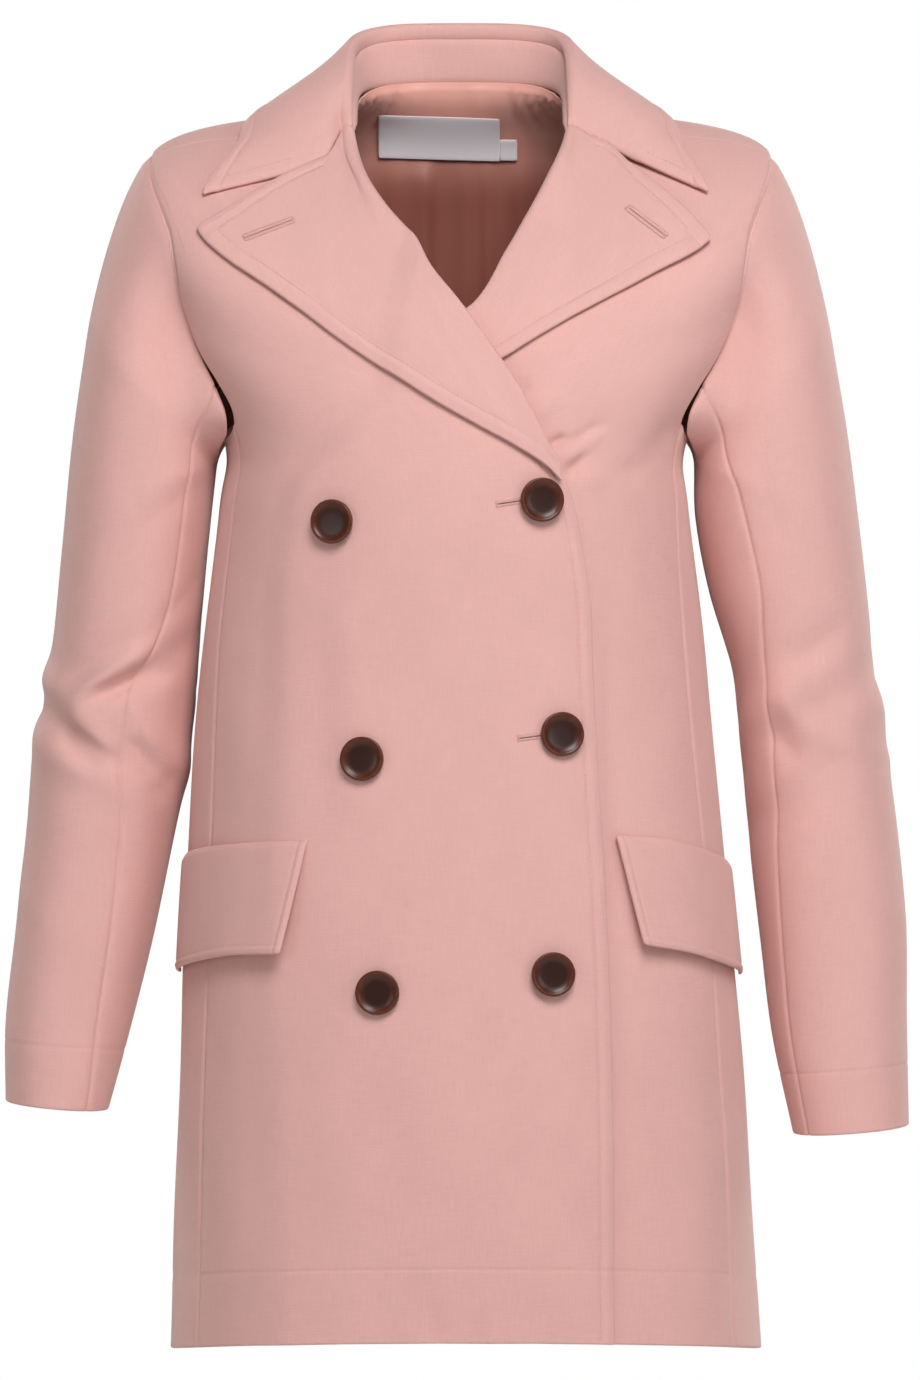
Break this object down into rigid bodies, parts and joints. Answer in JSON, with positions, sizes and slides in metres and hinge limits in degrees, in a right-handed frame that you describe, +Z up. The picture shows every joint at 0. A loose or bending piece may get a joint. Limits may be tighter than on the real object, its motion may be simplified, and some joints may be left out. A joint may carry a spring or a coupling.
{
  "type": "double-breasted jacket",
  "caption": "Thigh-length double-breasted wool jacket with wide notch lapels, two-piece sleeves and flap pockets, hollow as it is worn.",
  "frame": {"origin": "midway between the two neck points of the shoulder seams, where the wearer's shoulders carry the jacket", "axes": "+Z up, -Y towards the front of the jacket, +X towards the wearer's left"},
  "size_m": [0.567, 0.277, 0.8504],
  "materials": {
    "wool": "fine plain-woven wool, dry and matt with a soft nap",
    "lining": "satin lining with a soft sheen",
    "label": "blank woven satin label",
    "horn": "polished dark horn"
  },
  "bodies": {
    "root": {"front_right": "wool", "front_left": "wool", "side_right": "wool", "side_left": "wool", "back": "wool", "sleeve_upper_right": "wool", "sleeve_under_right": "wool", "sleeve_upper_left": "wool", "sleeve_under_left": "wool", "lapel_right": "wool", "lapel_left": "wool", "collar_stand": "wool", "collar_fall": "wool", "pocket_flap_right": "wool", "pocket_flap_left": "wool", "button_1": "horn", "button_2": "horn", "button_3": "horn", "button_4": "horn", "button_5": "horn", "button_6": "horn", "lining_back": "lining", "neck_label": "label", "size_label": "label"}
  },
  "joints": []
}
